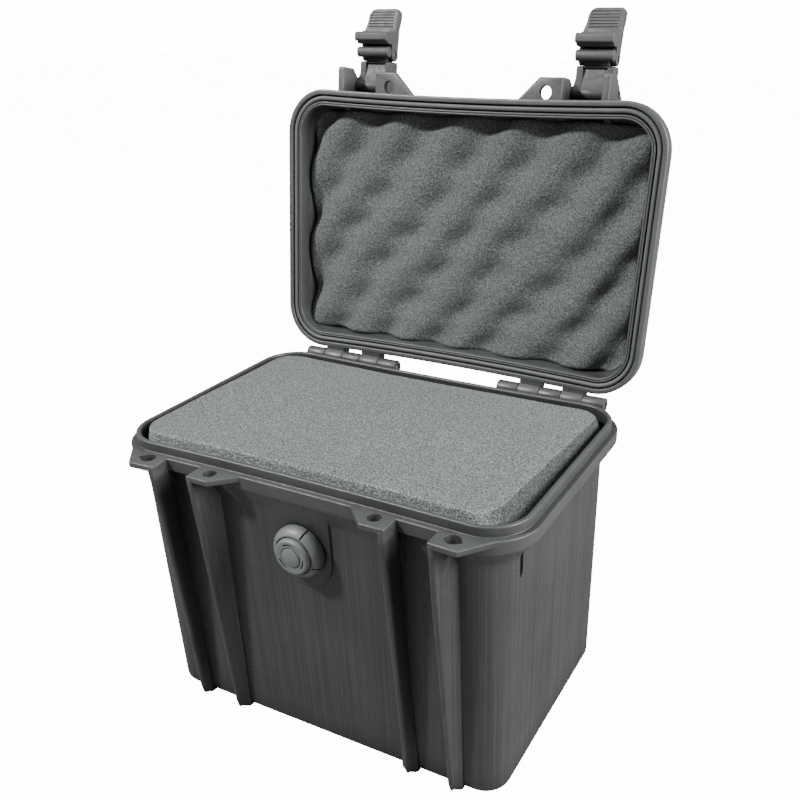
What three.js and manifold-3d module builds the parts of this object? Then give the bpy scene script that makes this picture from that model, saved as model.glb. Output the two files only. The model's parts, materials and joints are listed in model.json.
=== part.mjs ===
// Hard equipment case: deep moulded base, shallow hinged lid, two double-throw latches,
// purge valve, foam lining and a fold-down lid handle.
// Units mm. Origin at the centre of the base underside, +Z up, the latches face -Y.
import * as THREE from "three";
import { mergeVertices } from "three/addons/utils/BufferGeometryUtils.js";
import Module from "manifold-3d";

const wasm = await Module();
wasm.setup();

// ---- overall sizes ----
const W = 300, D = 195;             // rim outline
const RIM_R = 32;                   // rim corner radius
const BOW = 2;                      // front and back walls dip inwards by this at mid-length
const H = 202.5;                     // underside to the top of the base flange
const WALL = 3.2;
const FLANGE_T = 8.7;               // height of the flange edge
const BODY_TOP = [277.6, 185.8], BODY_BOT = [276.4, 182.4];
const TONGUE_H = 6.7, TONGUE_IN = 4.2, TONGUE_T = 3.5, TONGUE_R = 28;
const GAP = 0.3;                    // running clearance between moving pieces

// ---- lid (closed position, heights above the base flange) ----
const LID_H = 40, LID_FLANGE = 11, LID_IN = 9.5;
const CHANNEL = [TONGUE_IN - 0.4, TONGUE_IN + TONGUE_T + 0.9];   // seal channel, in from the rim
const CHANNEL_TOP = H + 10, CHANNEL_LIP = H + 1.6;
const RIDGE_IN = 11.4;              // inner face of the ridge inside the seal channel
const LID_FOOT = H + 1.9;           // underside of the lid tabs and ears
const EAR_T = 5;
const OPEN_DEG = 99.1;              // the lid is modelled open by this angle
const HINGE_Y = 104.6, HINGE_Z = H + 1.7;
const KNUCKLE_R = 6.2, HINGE_PIN_R = 2;
const KNUCKLE_X0 = 44.5, KNUCKLE_PITCH = 17, KNUCKLE_N = 5;

// ---- latch (lid closed, latch standing straight out from the lid front) ----
const BAY = [72.8, 100.5];          // clear width between the tabs, either side
const LATCH_X = (BAY[0] + BAY[1]) / 2, LATCH_W = 26.9;
const ARM_PIN = [-101.5, H + 21.8], ARM_PIN_R = 1.9;
const LEVER_PIN = [-124, H + 29.5], LEVER_PIN_R = 1.6;
const TAB_T = 4;

// ---- lid handle, lying folded on the closed lid ----
const HANDLE_PIN = [15, H + LID_H + 5.6], HANDLE_PIN_R = 2;
const HANDLE_ARM = [45, 55], HANDLE_LUG = [38.7, 55.3], LUG_T = 6;
const HANDLE_T = 9, HANDLE_REACH = 42, LUG_R = 5.4, HANDLE_BAR_W = 13;

// ---- purge valve ----
const VALVE_Z = H - 43, VALVE_Y = -93.4, STEM_R = 7.7;
const VALVE_BACK = VALVE_Y - 0.3, VALVE_FACE = VALVE_Y - 12.2, PAD_R = 22;

// ---- foam lining, heights of the joints between the layers ----
const FOAM_FLOOR_TOP = 15, FOAM_MID = 112, FOAM_TOP = H + 9.5, FOAM_GAP = 0.3;

// ---- small geometry kit ----
const solid = (g) => {
  const b = g.clone();
  b.deleteAttribute("normal");
  b.deleteAttribute("uv");
  const m = mergeVertices(b, 1e-4);
  return new wasm.Manifold(new wasm.Mesh({
    numProp: 3,
    vertProperties: new Float32Array(m.attributes.position.array),
    triVerts: new Uint32Array(m.index.array),
  }));
};
const join = (...parts) => parts.flat().reduce((a, b) => a.add(b));
const cut = (body, ...tools) => tools.flat().reduce((a, b) => a.subtract(b), body);

// outline of a rounded rectangle, anticlockwise, with bowed long sides
function outline(w, d, r, bow = BOW) {
  const pts = [];
  const n = 5, m = 4, sx = w / 2 - r, sy = d / 2 - r;
  const arc = (cx, cy, a0) => {
    for (let i = 0; i <= n; i++) {
      const a = a0 + (Math.PI / 2) * (i / n);
      pts.push([cx + r * Math.cos(a), cy + r * Math.sin(a)]);
    }
  };
  const side = (dir) => {
    for (let i = 1; i < m; i++) {
      const t = 1 - (2 * i) / m;
      pts.push([dir * sx * t, dir * (d / 2 - bow * (1 - t * t))]);
    }
  };
  arc(sx, sy, 0);
  side(1);
  arc(-sx, sy, Math.PI / 2);
  arc(-sx, -sy, Math.PI);
  side(-1);
  arc(sx, -sy, 1.5 * Math.PI);
  return pts;
}

// closed skin through a stack of equal-length outlines, [points, z] from bottom to top
function loft(stack) {
  const n = stack[0][0].length, pos = [], idx = [];
  for (const [pts, z] of stack) for (const [x, y] of pts) pos.push(x, y, z);
  for (let k = 0; k + 1 < stack.length; k++) {
    for (let i = 0; i < n; i++) {
      const a = k * n + i, b = k * n + ((i + 1) % n);
      idx.push(a, b, b + n, a, b + n, a + n);
    }
  }
  const cap = ([pts, z], base, up) => {
    const c = pos.length / 3;
    pos.push(pts.reduce((s, p) => s + p[0], 0) / n, pts.reduce((s, p) => s + p[1], 0) / n, z);
    for (let i = 0; i < n; i++) {
      const a = base + i, b = base + ((i + 1) % n);
      idx.push(...(up ? [a, b, c] : [b, a, c]));
    }
  };
  cap(stack[0], 0, false);
  cap(stack.at(-1), (stack.length - 1) * n, true);
  const g = new THREE.BufferGeometry();
  g.setAttribute("position", new THREE.Float32BufferAttribute(pos, 3));
  g.setIndex(idx);
  return solid(g);
}
const box = (w, d, r, z, bow = BOW) => [outline(w, d, r, bow), z];

// straight prisms: outline points in XY lifted along Z, or in YZ pushed along X
const shapeOf = (pts, hole) => {
  const s = new THREE.Shape(pts.map(([x, y]) => new THREE.Vector2(x, y)));
  if (hole) s.holes.push(new THREE.Path(hole.map(([x, y]) => new THREE.Vector2(x, y))));
  return s;
};
const prismZ = (pts, z0, z1, hole) => solid(
  new THREE.ExtrudeGeometry(shapeOf(pts, hole), { depth: z1 - z0, bevelEnabled: false })
    .translate(0, 0, z0));
const Y_Z_X = new THREE.Matrix4().makeBasis(
  new THREE.Vector3(0, 1, 0), new THREE.Vector3(0, 0, 1), new THREE.Vector3(1, 0, 0));
const prismX = (pts, x0, x1) => solid(
  new THREE.ExtrudeGeometry(shapeOf(pts), { depth: x1 - x0, bevelEnabled: false })
    .applyMatrix4(Y_Z_X).translate(x0, 0, 0));
const block = (x0, x1, y0, y1, z0, z1) => solid(
  new THREE.BoxGeometry(x1 - x0, y1 - y0, z1 - z0)
    .translate((x0 + x1) / 2, (y0 + y1) / 2, (z0 + z1) / 2));
const rodX = (y, z, r, x0, x1, n = 16) => solid(
  new THREE.CylinderGeometry(r, r, x1 - x0, n).rotateZ(-Math.PI / 2)
    .translate((x0 + x1) / 2, y, z));
const rodY = (x, z, r, y0, y1, n = 24) => solid(
  new THREE.CylinderGeometry(r, r, y1 - y0, n).translate(x, (y0 + y1) / 2, z));
const rodZ = (x, y, r, z0, z1, n = 20) => solid(
  new THREE.CylinderGeometry(r, r, z1 - z0, n).rotateX(Math.PI / 2)
    .translate(x, y, (z0 + z1) / 2));
// turned part about a line along Y through (x, z); profile [radius, y] is a closed loop
function turnY(x, z, profile, n = 32) {
  const loop = profile.map(([r, y]) => new THREE.Vector2(r, y));
  if (THREE.ShapeUtils.area(loop) < 0) loop.reverse();
  return solid(new THREE.LatheGeometry([...loop, loop[0]], n).translate(x, 0, z));
}
const mirrorX = (pts) => pts.map(([x, y]) => [-x, y]).reverse();

// ---- assembly list ----
const group = new THREE.Group();
function add(name, body, look) {
  const mesh = body.getMesh();
  const g = new THREE.BufferGeometry();
  g.setAttribute("position", new THREE.BufferAttribute(mesh.vertProperties, 3));
  g.setIndex(new THREE.BufferAttribute(mesh.triVerts, 1));
  g.computeVertexNormals();
  const m = new THREE.Mesh(g, new THREE.MeshStandardMaterial(look));
  m.name = name;
  group.add(m);
}
// pieces that travel with the lid are drawn closed and then swung open about the hinge
const swing = (body) => body
  .translate([0, -HINGE_Y, -HINGE_Z])
  .rotate([-OPEN_DEG, 0, 0])
  .translate([0, HINGE_Y, HINGE_Z]);
const addLid = (name, body, look) => add(name, swing(body), look);

const SHELL = { color: 0x3a3d3f, roughness: 0.6, metalness: 0 };
const LATCH = { color: 0x4a4d50, roughness: 0.5, metalness: 0 };
const STEEL = { color: 0xb9bcc0, roughness: 0.3, metalness: 1 };
const RUBBER = { color: 0x1d1e20, roughness: 0.85, metalness: 0 };
const FOAM = { color: 0x6b6e70, roughness: 0.95, metalness: 0 };
const FOAM_DARK = { color: 0x4d5052, roughness: 0.95, metalness: 0 };
const VALVE = { color: 0x6d7174, roughness: 0.45, metalness: 0 };
const MEMBRANE = { color: 0xe8e8e4, roughness: 0.8, metalness: 0 };
const HANDLE = { color: 0x2c2e30, roughness: 0.6, metalness: 0 };

// ---- tabs and ribs of the base front ----
const INNER_TAB = [[BAY[0], -90], [BAY[0], -110], [56, -110], [41, -94], [41, -90]];
const OUTER_TAB = [[BAY[1], -90], [138, -84], [138, -88], [119.5, -111.5], [BAY[1], -110.4]];
const PADLOCK = { inner: [61, -100.4, 4.35], outer: [112, -101, 4.9] };

// rib section at one height: front ridge between xa and xb, foot on the wall from xw to xv
const RIB = {
  inner: { top: [62.8, 68.2, BAY[0] - 0.2, BAY[0] - 0.2], low: [65.5, 70.6, 74.2, 78.5] },
  outer: { top: [BAY[1] + 0.2, BAY[1] + 0.2, 105.3, 111.4], low: [101.5, 104.2, 108.2, 112.5] },
};
const ribSection = (xw, xa, xb, xv, y) => [
  [xw, -87], [xw, -91.5], [xa, y + 1.4], [xa + 1.2, y], [xb - 1.2, y], [xb, y + 1.4],
  [xv, -91.5], [xv, -87]];
const RIB_Z = { top: H - 2, bay: H - 40, low: 5 }, RIB_TAPER = 12.5;
const ribFront = (z) => -111 + ((H - z) * RIB_TAPER) / H;
function rib(side, inner) {
  const { top, low } = inner ? RIB.inner : RIB.outer;
  const sect = (z, y) => {
    const t = z > RIB_Z.bay ? 0 : 1 - z / RIB_Z.bay;
    const pts = ribSection(...top.map((x, i) => x + (low[i] - x) * t), y);
    return side > 0 ? pts : mirrorX(pts);
  };
  const stack = [[sect(0, -99), 0]];
  for (const [dz, dy] of [[0.8, 2.4], [2.4, 0.8], [RIB_Z.low, 0]]) {
    stack.push([sect(dz, ribFront(dz) + dy), dz]);
  }
  stack.push([sect(RIB_Z.bay, ribFront(RIB_Z.bay)), RIB_Z.bay]);
  stack.push([sect(RIB_Z.top, ribFront(RIB_Z.top)), RIB_Z.top]);
  return loft(stack);
}

// ---- hinge knuckles ----
const knuckleSpan = (i) => [
  KNUCKLE_X0 + i * KNUCKLE_PITCH + GAP / 2, KNUCKLE_X0 + (i + 1) * KNUCKLE_PITCH - GAP / 2];
function knuckles(side, onBase) {
  const out = [];
  for (let i = onBase ? 0 : 1; i < KNUCKLE_N; i += 2) {
    const [a, b] = knuckleSpan(i);
    const [x0, x1] = side > 0 ? [a, b] : [-b, -a];
    const web = onBase
      ? [[92, H - 8.5], [100, H - 8.5], [105.5, H - 4.4], [HINGE_Y, HINGE_Z], [99.4, H - 0.2],
        [92, H - 0.2]]
      : [[92, H + 0.4], [99.4, H + 0.4], [HINGE_Y, HINGE_Z], [107.5, H + 7.1],
        [100, H + 10.4], [92, H + 10.4]];
    out.push(prismX(web, x0, x1), rodX(HINGE_Y, HINGE_Z, KNUCKLE_R, x0, x1, 24));
  }
  return out;
}
const hingeEnds = (side) => {
  const a = KNUCKLE_X0, b = KNUCKLE_X0 + KNUCKLE_N * KNUCKLE_PITCH;
  return side > 0 ? [a, b] : [-b, -a];
};
const hingeBores = [-1, 1].map((s) => {
  const [x0, x1] = hingeEnds(s);
  return rodX(HINGE_Y, HINGE_Z, HINGE_PIN_R + GAP, x0 - 1, x1 + 1);
});

// ---- base shell ----
{
  const [bw, bd] = BODY_TOP, [lw, ld] = BODY_BOT;
  const R = 5;                             // roll of the bottom edge
  const stack = [];
  for (const a of [0, 0.3, 0.6, 0.85, 1]) {
    const t = (a * Math.PI) / 2, inset = R * (1 - Math.sin(t));
    stack.push(box(lw - 2 * inset, ld - 2 * inset, 20 - inset * 0.6, R * (1 - Math.cos(t)), 0));
  }
  stack.push(box(bw, bd, 24, H - 20, BOW / 2));
  stack.push(box(W, D, RIM_R, H - FLANGE_T));
  stack.push(box(W, D, RIM_R, H));
  const outer = loft(stack);
  const tw = W - 2 * TONGUE_IN, td = D - 2 * TONGUE_IN;
  const tongue = loft([
    box(tw, td, TONGUE_R, H - 4), box(tw, td, TONGUE_R, H + TONGUE_H - 1.2),
    box(tw - 2, td - 2, TONGUE_R - 1, H + TONGUE_H)]);
  const iw = tw - 2 * TONGUE_T, id = td - 2 * TONGUE_T;
  const cavity = loft([
    box(lw - 2 * WALL - 10, ld - 2 * WALL - 10, 15, WALL, 0),
    box(lw - 2 * WALL, ld - 2 * WALL, 19, WALL + 5, 0),
    box(bw - 2 * WALL, bd - 2 * WALL, 22, H - 23, BOW / 2),
    box(iw, id, 24.5, H - 11), box(iw, id, 24.5, H + TONGUE_H - 0.8),
    box(iw + 1.2, id + 1.2, 25.1, H + TONGUE_H),
    box(iw + 1.2, id + 1.2, 25.1, H + TONGUE_H + 1)]);
  const fronts = [];
  const cuts = [cavity, ...hingeBores];
  for (const s of [-1, 1]) {
    const flip = (pts) => (s > 0 ? pts : mirrorX(pts));
    fronts.push(prismZ(flip(INNER_TAB), H - TAB_T, H));
    fronts.push(prismZ(flip(OUTER_TAB), H - TAB_T, H));
    fronts.push(rib(s, true), rib(s, false));
    const [px, py, pr] = PADLOCK.inner, [qx, qy, qr] = PADLOCK.outer;
    cuts.push(rodZ(s * px, py, pr, H - 12, H + 1), rodZ(s * qx, qy, qr, H - 12, H + 1));
    const bay = [s * (BAY[0] + 0.1), s * (BAY[1] - 0.1)].sort((a, b) => a - b);
    cuts.push(block(...bay, -99, -91.2, H - 26, H - FLANGE_T + 0.3));
  }
  // raised pad that carries the valve
  const pad = [];
  for (let i = 0; i <= 12; i++) {
    const a = Math.PI + (Math.PI * i) / 12;
    pad.push([PAD_R * Math.cos(a), VALVE_Z - 6 + PAD_R * Math.sin(a)]);
  }
  pad.push([PAD_R, H - 6], [-PAD_R, H - 6]);
  const boss = solid(new THREE.ExtrudeGeometry(shapeOf(pad), { depth: 8, bevelEnabled: false })
    .rotateX(Math.PI / 2).translate(0, VALVE_Y + 8, 0));
  cuts.push(rodY(0, VALVE_Z, STEM_R + GAP, -100, -80));
  // narrow moulded slot high on each end wall, near the front corner
  const [slotIn, slotOut] = [bw / 2 - 1.5, W / 2];
  for (const x of [[-slotOut, -slotIn], [slotIn, slotOut]]) {
    cuts.push(block(...x, -68.5, -63.5, H - 36, H - 15));
  }
  const body = join(outer, tongue, boss, fronts, knuckles(-1, true), knuckles(1, true));
  add("base_shell", cut(body, cuts), SHELL);
}

// ---- lid shell ----
{
  const w = W - 2 * LID_IN, d = D - 2 * LID_IN;
  const stack = [
    box(W - 1, D - 1, RIM_R - 0.5, H + GAP), box(W, D, RIM_R, H + GAP + 1),
    box(W, D, RIM_R, H + LID_FLANGE), box(w, d, 26, H + LID_FLANGE + 5),
    box(w - 3, d - 3, 25, H + LID_H - 8)];
  for (const a of [0.35, 0.7, 1]) {
    const t = (a * Math.PI) / 2, inset = 8 * (1 - Math.cos(t));
    stack.push(box(w - 3 - 2 * inset, d - 3 - 2 * inset, 25 - inset * 0.6,
      H + LID_H - 8 + 8 * Math.sin(t)));
  }
  const outer = loft(stack);
  const cavity = loft([
    box(W - 2 * RIDGE_IN, D - 2 * RIDGE_IN, 21, H - 1),
    box(W - 2 * RIDGE_IN, D - 2 * RIDGE_IN, 21, H + 13),
    box(w - 2 * WALL, d - 2 * WALL, 22.5, H + 17),
    box(w - 3 - 2 * WALL, d - 3 - 2 * WALL, 21.5, H + LID_H - WALL - 4),
    box(w - 9 - 2 * WALL, d - 9 - 2 * WALL, 19, H + LID_H - WALL)]);
  const ring = (k) => outline(W - 2 * k, D - 2 * k, RIM_R - k);
  const groove = prismZ(ring(CHANNEL[0]), H - 1, CHANNEL_TOP, ring(CHANNEL[1]));
  // inner edge of the seal channel stands a little back from the outer bead
  const step = prismZ(ring(CHANNEL[1] - 0.2), H - 1, CHANNEL_LIP);
  const extras = [], cuts = [cavity, groove, step, ...hingeBores];
  const ear = [[-84, LID_FOOT], [-112, LID_FOOT], [-113.3, LID_FOOT + 1.3], [-113.3, H + 15.5],
    [-98.5, H + 32], [-84, H + 33.5]];
  for (const s of [-1, 1]) {
    const flip = (pts) => (s > 0 ? pts : mirrorX(pts));
    const span = (a, b) => (s > 0 ? [a, b] : [-b, -a]);
    extras.push(prismX(ear, ...span(BAY[1], BAY[1] + EAR_T)));
    extras.push(prismX(ear, ...span(BAY[0] - EAR_T, BAY[0])));
    extras.push(prismZ(flip(INNER_TAB), LID_FOOT, LID_FOOT + TAB_T));
    const [px, py, pr] = PADLOCK.inner;
    cuts.push(rodZ(s * px, py, pr, H - 1, H + 12));
    cuts.push(rodX(...ARM_PIN, ARM_PIN_R + GAP, ...span(BAY[0] - EAR_T - 1, BAY[1] + EAR_T + 1)));
    for (const x of [HANDLE_LUG[0], HANDLE_LUG[1]]) {
      const [a, b] = span(x, x + LUG_T);
      const [hy, hz] = HANDLE_PIN, foot = H + LID_H - 1;
      extras.push(rodX(hy, hz, LUG_R, a, b, 24), prismX(
        [[hy - 9, foot], [hy - LUG_R + 0.2, hz], [hy + LUG_R - 0.2, hz], [hy + 9, foot]], a, b));
    }
    cuts.push(rodX(...HANDLE_PIN, HANDLE_PIN_R + GAP, ...span(HANDLE_LUG[0] - 1, 64)));
  }
  add("lid_shell", swing(cut(join(outer, extras, knuckles(-1, false), knuckles(1, false)), cuts)),
    SHELL);
}

// ---- lid seal and hinge pins ----
{
  const g0 = TONGUE_IN + 0.1, g1 = TONGUE_IN + TONGUE_T - 0.1;
  const ringIn = (k) => outline(W - 2 * k, D - 2 * k, RIM_R - k);
  addLid("lid_gasket",
    prismZ(ringIn(g0), H + TONGUE_H + 0.5, CHANNEL_TOP - 0.2, ringIn(g1)), RUBBER);
  for (const [s, tag] of [[-1, "left"], [1, "right"]]) {
    const [x0, x1] = hingeEnds(s);
    add(`hinge_pin_${tag}`, rodX(HINGE_Y, HINGE_Z, HINGE_PIN_R, x0 + 0.6, x1 - 0.6), STEEL);
  }
}

// ---- latches, drawn about x = 0 and moved to each bay ----
const latchArm = () => {
  const [py, pz] = ARM_PIN, [qy, qz] = LEVER_PIN;
  const half = LATCH_W / 2, barrel = (BAY[1] - BAY[0]) / 2 - GAP;
  const z0 = H + 25.5, z1 = H + 33.5;
  const hub = join(
    rodX(py, pz, 4.6, -barrel, barrel, 20),
    prismX([[py - 1, pz - 4.5], [py + 0.4, pz + 4.4], [-106.2, z1], [-109.6, z1],
      [-111.4, z0 - 1.8]], -half, half));
  const plate = prismX([[-106, z0 + 0.6], [-108, z1], [qy - 3.2, z1], [qy - 4.2, qz + 1.6],
    [qy - 4.2, qz - 1.6], [qy - 3, z0]], -9, 9);
  const flange = prismX([[-107.5, z0 + 0.5], [-109, z1], [-118.4, z1], [-119.2, z1 - 1],
    [-119.2, z0 - 0.4], [-118, z0 - 1.8], [-110.5, z0 - 1.8]], -half, half);
  const recess = block(-8.2, 8.2, -118.2, -110, z0 - 3, z0 + 0.4);
  // rounded cross bar at the free end, standing off the inner face
  const [bar0, bar1] = [-128.8, -121.6];
  const bar = join(
    prismX([[bar1 - 2, H + 18], [bar1, H + 20], [bar1, H + 22.6], [bar1 - 1.6, H + 24.6],
      [bar0 + 1.6, H + 24.6], [bar0, H + 22.6], [bar0, H + 20], [bar0 + 2, H + 18]], -half, half),
    block(-8.9, 8.9, -127.6, -121.6, H + 24, z0 + 1));
  return cut(join(hub, plate, cut(flange, recess), bar),
    rodX(py, pz, ARM_PIN_R + GAP, -20, 20), rodX(qy, qz, LEVER_PIN_R + GAP, -20, 20));
};
const latchLever = () => {
  const [qy, qz] = LEVER_PIN;
  const half = LATCH_W / 2;
  const cheek = (x0, x1) => join(
    rodX(qy, qz, 4.4, x0, x1, 20),
    prismX([[qy, H + 25.1], [-140, H + 25.1], [-140, H + 34.4], [qy, H + 33.9]],
      x0, x1));
  // catch bar across the full width, rounded where it slides under the rim
  const hook = join(
    prismX([[-132, H + 16.2], [-133.2, H + 14.6], [-136.6, H + 14.6], [-138.4, H + 17],
      [-138.6, H + 26], [-138.6, H + 31], [-130.6, H + 31], [-130.6, H + 19], [-132, H + 18.4]],
    -half, half),
    prismX([[-129.4, H + 28.5], [-134, H + 28.5], [-134, H + 34.2], [-129.4, H + 34.2]], -9.6, 9.6));
  // thumb pad: concave neck rising to a rounded, grooved end
  const side = [[-133, H + 27], [-140, H + 27.4], [-144, H + 29.4], [-149, H + 31.6],
    [-154.2, H + 32.6], [-155.6, H + 33.8], [-155.6, H + 36.2], [-154, H + 38.2],
    [-149, H + 38], [-141, H + 35], [-133, H + 34.6]];
  const plan = [[-half, -130], [-half, -138.6], [-half + 1.6, -142], [-half + 1.9, -149],
    [-half + 2.8, -152.6], [-half + 6, -155.6], [half - 3.6, -155.6], [half - 1, -154],
    [half, -151], [half, -130]];
  const pad = prismX(side, -half, half).intersect(prismZ(plan, H + 20, H + 45));
  const grooves = [0, 1, 2, 3, 4].map((i) => {
    const y = -143.4 - i * 2.1, z = H + 29.1 + i * 0.82;
    return rodX(y, z - 0.25, 0.55, -half + 3.2, half - 2.6, 8);
  });
  return cut(join(cheek(-half, -9.3), cheek(9.3, half), hook, pad),
    rodX(qy, qz, LEVER_PIN_R + GAP, -20, 20), grooves);
};
{
  const arm = latchArm(), lever = latchLever();
  const half = LATCH_W / 2, reach = (BAY[1] - BAY[0]) / 2 + EAR_T - 0.4;
  for (const [s, tag] of [[-1, "left"], [1, "right"]]) {
    const put = (b) => b.translate([s * LATCH_X, 0, 0]);
    addLid(`latch_arm_${tag}`, put(arm), LATCH);
    addLid(`latch_lever_${tag}`, put(lever), LATCH);
    addLid(`latch_arm_pin_${tag}`, put(rodX(...ARM_PIN, ARM_PIN_R, -reach, reach)), STEEL);
    addLid(`latch_lever_pin_${tag}`,
      put(rodX(...LEVER_PIN, LEVER_PIN_R, -half + 0.3, half - 0.3)), STEEL);
  }
}

// ---- carry handle ----
{
  const [py, pz] = HANDLE_PIN, t = HANDLE_T / 2, tip = py - HANDLE_REACH;
  const far = tip + HANDLE_BAR_W;
  const grip = [[tip, pz - 1.5], [tip + 1.8, pz - t], [far - 1.8, pz - t], [far, pz - 1.5],
    [far, pz + 1.5], [far - 1.8, pz + t], [tip + 1.8, pz + t], [tip, pz + 1.5]];
  const arms = [-1, 1].map((s) => {
    const [a, b] = s > 0 ? HANDLE_ARM : [-HANDLE_ARM[1], -HANDLE_ARM[0]];
    return join(rodX(py, pz, t, a, b, 20), block(a, b, tip + 6, py, pz - t + 0.4, pz + t - 0.4));
  });
  const bores = rodX(py, pz, HANDLE_PIN_R + GAP, -60, 60);
  addLid("carry_handle", cut(join(prismX(grip, -HANDLE_ARM[1], HANDLE_ARM[1]), arms), bores),
    HANDLE);
  for (const [s, tag] of [[-1, "left"], [1, "right"]]) {
    const x = [s * (HANDLE_LUG[0] + 0.5), s * (HANDLE_LUG[1] + LUG_T - 0.5)].sort((a, b) => a - b);
    addLid(`handle_pin_${tag}`, rodX(py, pz, HANDLE_PIN_R, ...x), STEEL);
  }
}

// ---- purge valve ----
{
  const f = VALVE_BACK;
  const body = join(
    rodY(0, VALVE_Z, 13.5, f - 3, f), rodY(0, VALVE_Z, STEM_R, f - 1, -79.5));
  const seat = turnY(0, VALVE_Z, [[9.6, f - 1.9], [12.2, f - 1.9], [12.2, f + 1], [9.6, f + 1]]);
  add("valve_body", cut(body, seat, rodY(0, VALVE_Z, 4, f - 1.2, -79, 16),
    rodY(0, VALVE_Z, 2.2, f - 4, -85, 12), rodY(0, VALVE_Z, 6.3, f - 4, f - 2)), VALVE);
  add("valve_seal", solid(new THREE.TorusGeometry(10.9, 0.95, 8, 28).rotateX(Math.PI / 2)
    .translate(0, f - 0.75, VALVE_Z)), RUBBER);
  add("valve_membrane", rodY(0, VALVE_Z, 6, f - 2.7, f - 2.3), MEMBRANE);
  const b = f - 0.1, t = VALVE_FACE;       // knob skirt and front face
  const knob = turnY(0, VALVE_Z, [[14, b], [18, b], [18.2, b - 3], [17.2, b - 6], [15, b - 8.4],
    [13.4, b - 9], [13, b - 8.2], [12.6, b - 8.2], [12.2, t + 1], [11.6, t], [7.2, t],
    [6.9, t + 0.5], [6.5, t + 0.5], [6.2, t - 0.3], [0.001, t - 0.4], [0.001, f - 3.4],
    [14, f - 3.4]]);
  const cuts = [];
  for (let i = 0; i < 4; i++) {
    cuts.push(block(14.2, 20, b - 12, b + 1, -0.9, 0.9).rotate([0, 45 + 90 * i, 0])
      .translate([0, 0, VALVE_Z]));
  }
  for (let i = 0; i < 3; i++) {
    const a0 = (i * 120 * Math.PI) / 180, arc = [];
    for (let k = 0; k <= 4; k++) arc.push([9.6, a0 + k * 0.2]);
    for (let k = 4; k >= 0; k--) arc.push([8.7, a0 + k * 0.2]);
    const pts = arc.map(([r, a]) => [r * Math.cos(a), r * Math.sin(a)]);
    cuts.push(solid(new THREE.ExtrudeGeometry(shapeOf(pts), { depth: 4, bevelEnabled: false })
      .rotateX(Math.PI / 2).translate(0, t + 2, VALVE_Z)));
  }
  add("valve_knob", cut(knob, cuts), VALVE);
  add("valve_nut", cut(rodY(0, VALVE_Z, 13, -87.5, -82, 6), rodY(0, VALVE_Z, STEM_R + GAP, -90, -80)),
    VALVE);
}

// ---- foam ----
{
  const notch = block(-16, 16, -95, -77.5, VALVE_Z - 15.5, VALVE_Z + 15.5);
  add("foam_floor", loft([box(252, 161, 14, WALL + 0.4, 0),
    box(262, 171.2, 18, WALL + 5.6, 0), box(262.4, 171.6, 18, FOAM_FLOOR_TOP, 0)]), FOAM_DARK);
  add("foam_lower", loft([box(263, 172, 18, FOAM_FLOOR_TOP + FOAM_GAP, 0.2),
    box(265.5, 174.5, 19, FOAM_MID, 0.8)]), FOAM);
  add("foam_upper", cut(loft([box(266, 168, 19, FOAM_MID + FOAM_GAP), box(268, 168, 19, H - 12),
    box(279, 171, 20, H - 3), box(272, 168, 18, H + 1), box(272, 168, 18, FOAM_TOP - 2), box(268, 164, 17, FOAM_TOP)]), notch), FOAM);
  addLid("foam_lid", loft([box(264, 159, 15, H + 11.5), box(270, 165, 18, H + 14.5),
    box(268, 163, 18, H + LID_H - WALL - 5), box(262, 157, 16, H + LID_H - WALL - 0.4)]),
    FOAM_DARK);
}
export default group;
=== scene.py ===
import json
import math

import bmesh
import bpy
from mathutils import Matrix, Vector, noise


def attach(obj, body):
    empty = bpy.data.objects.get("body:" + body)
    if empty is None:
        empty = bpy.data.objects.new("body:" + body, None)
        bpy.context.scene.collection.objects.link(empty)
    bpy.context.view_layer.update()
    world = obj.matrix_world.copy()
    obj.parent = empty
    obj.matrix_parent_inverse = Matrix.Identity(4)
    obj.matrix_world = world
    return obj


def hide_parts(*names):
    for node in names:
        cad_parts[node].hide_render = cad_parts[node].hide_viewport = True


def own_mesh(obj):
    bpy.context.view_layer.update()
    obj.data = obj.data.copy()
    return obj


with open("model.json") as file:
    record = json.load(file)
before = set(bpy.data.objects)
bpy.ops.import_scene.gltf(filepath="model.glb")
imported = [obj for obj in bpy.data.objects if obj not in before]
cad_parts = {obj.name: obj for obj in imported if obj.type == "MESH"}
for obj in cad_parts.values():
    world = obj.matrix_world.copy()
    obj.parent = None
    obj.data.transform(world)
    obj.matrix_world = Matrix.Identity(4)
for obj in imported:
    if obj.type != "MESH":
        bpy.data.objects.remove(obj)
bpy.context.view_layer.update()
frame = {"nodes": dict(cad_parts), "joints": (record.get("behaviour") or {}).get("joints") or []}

# A hard equipment case standing open. The helpers take millimetres in the frame's axes;
# lid pieces are drawn in the closed position and swung open with the CAD's own hinge.
MM = 0.001

# ---- driving sizes, mm ----
H = 202.5                            # top of the base flange
W, D, RIM_R, BOW = 300, 195, 32, 2   # rim outline and the dip of its long sides
WALL, FLANGE_T = 3.2, 8.7
BODY_TOP, BODY_BOT = (277.6, 185.8), (276.4, 182.4)  # body outline under the flange and at the bottom
TONGUE_IN, TONGUE_T, TONGUE_H = 4.2, 3.5, 6.7        # inset from the rim, thickness and height
LID_H, LID_FLANGE, LID_IN = 40, 11, 9.5              # lid height, its rim's height and its dome's inset
BAY = (72.8, 100.5)                  # the latch bays, from inner to outer rib
LATCH_X, LATCH_W = sum(BAY) / 2, 26.9
KNUCKLE_X0, KNUCKLE_PITCH, KNUCKLE_N, KNUCKLE_R = 44.5, 17, 5, 5.5
TAB_T, EAR_T, GAP = 4, 5, 0.3
RIB_Y, RIB_TAPER = -111, 12.5        # ridge of the front ribs at the flange, and how far it falls back
ROOT = 94.3                          # where pieces outside the lid's seal channel take root
VALVE_Z, VALVE_Y = H - 43, -93.4     # height of the valve and the face of its pad
ARM_PIN, LEVER_PIN = (-101.5, H + 21.8), (-124, H + 29.5)
HANDLE_PIN = (15, H + LID_H + 5.6)

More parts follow.
